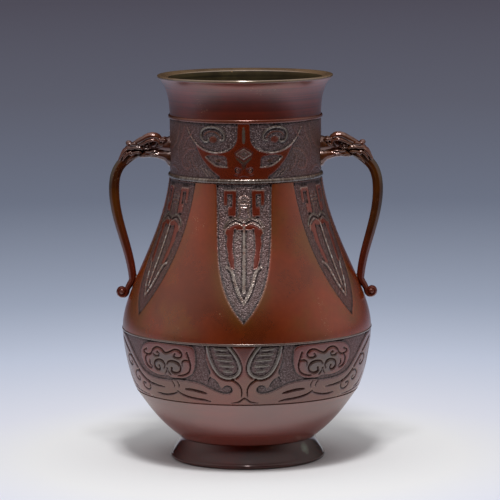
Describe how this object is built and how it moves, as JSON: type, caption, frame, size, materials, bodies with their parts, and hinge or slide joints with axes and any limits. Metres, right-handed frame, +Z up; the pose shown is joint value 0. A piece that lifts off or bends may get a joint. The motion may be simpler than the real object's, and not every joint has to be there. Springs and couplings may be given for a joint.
{
  "type": "two-handled bronze vase",
  "caption": "Pear-shaped cast bronze vase with splayed foot, flared mouth, banded relief, hanging blade panels and beast-head handles with slender scrolled bows.",
  "frame": {"origin": "on the table at the middle of the foot ring", "axes": "+Z up along the vessel's axis, -Y to the front, X through the two handles"},
  "size_m": [0.2132, 0.195, 0.3],
  "materials": {
    "body_bronze": "cast bronze with a satin red-brown patina, darker in the sunk grounds and rubbed to pale brass on the raised lines",
    "foot_bronze": "cast bronze with a dark brown satin patina and a few green specks",
    "head_bronze": "chased cast bronze, red-brown with bright rubbed edges",
    "bow_bronze": "smooth olive-brass bronze, dark on the inner side",
    "plate_bronze": "plain cast bronze sheet with a dull brown patina",
    "rivet_bronze": "hammered bronze with a dull brown patina"
  },
  "bodies": {
    "root": {"foot_ring": "foot_bronze", "base_plate": "plate_bronze", "body_section": "body_bronze", "neck_section": "body_bronze", "right_handle_head": "head_bronze", "left_handle_head": "head_bronze", "right_handle_bow": "bow_bronze", "left_handle_bow": "bow_bronze", "right_neck_rivet": "rivet_bronze", "left_neck_rivet": "rivet_bronze", "right_shoulder_rivet": "rivet_bronze", "left_shoulder_rivet": "rivet_bronze"}
  },
  "joints": []
}
